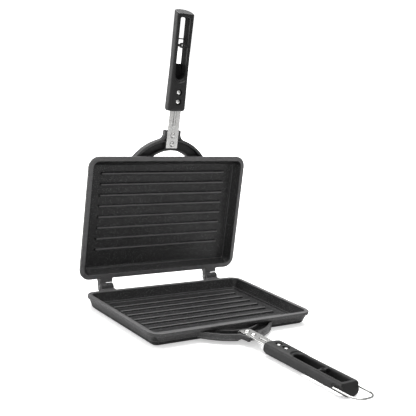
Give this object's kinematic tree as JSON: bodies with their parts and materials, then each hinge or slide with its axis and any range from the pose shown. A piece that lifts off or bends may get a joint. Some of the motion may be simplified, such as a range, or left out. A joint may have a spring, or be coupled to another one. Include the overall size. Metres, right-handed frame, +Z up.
{
  "type": "double sided flip pan",
  "caption": "Hinged two-sided griddle pan with ribbed rectangular trays, riveted steel tangs, slotted moulded grips and a swinging wire bail that holds it shut.",
  "frame": {"origin": "centre of the lower tray's flat base, on the surface the pan stands on", "axes": "+X along the hinge line, to the right when the grips point to the user; +Y from the grips to the hinges; +Z up. The lid is stored open, upright on its stop, and the bail lies in line with the lower grip."},
  "size_m": [0.24, 0.3871, 0.3656],
  "materials": {
    "cast_black": "black non-stick coating with a fine pebbled grain",
    "grip_black": "matte moulded phenolic resin",
    "tang_steel": "bright rolled strip",
    "rivet_steel": "bright peened heads",
    "screw_steel": "bright plated",
    "nut_steel": "zinc plated",
    "wire_steel": "bright plated wire",
    "pin_steel": "dull steel"
  },
  "bodies": {
    "lower": {"lower_pan": "cast_black", "lower_tang": "tang_steel", "lower_tang_rivet_inner": "rivet_steel", "lower_tang_rivet_outer": "rivet_steel", "lower_handle": "grip_black", "lower_handle_screw_inner": "screw_steel", "lower_handle_screw_outer": "screw_steel", "lower_handle_nut_inner": "nut_steel", "lower_handle_nut_outer": "nut_steel", "hinge_pin_left": "pin_steel", "hinge_pin_right": "pin_steel"},
    "lid": {"upper_pan": "cast_black", "upper_tang": "tang_steel", "upper_tang_rivet_inner": "rivet_steel", "upper_tang_rivet_outer": "rivet_steel", "upper_handle": "grip_black", "upper_handle_screw_inner": "screw_steel", "upper_handle_screw_outer": "screw_steel", "upper_handle_nut_inner": "nut_steel", "upper_handle_nut_outer": "nut_steel"},
    "bail": {"latch_bail": "wire_steel"}
  },
  "joints": [
    {"name": "lid_hinge", "type": "hinge", "parent": "lower", "child": "lid", "pos_m": [0, 0.088, 0.01755], "axis": [1, 0, 0], "range_deg": [0, 90]},
    {"name": "bail_swing", "type": "hinge", "parent": "lower", "child": "bail", "pos_m": [0, -0.2455, 0.0085], "axis": [-1, 0, 0], "range_deg": [-8, 127]}
  ]
}
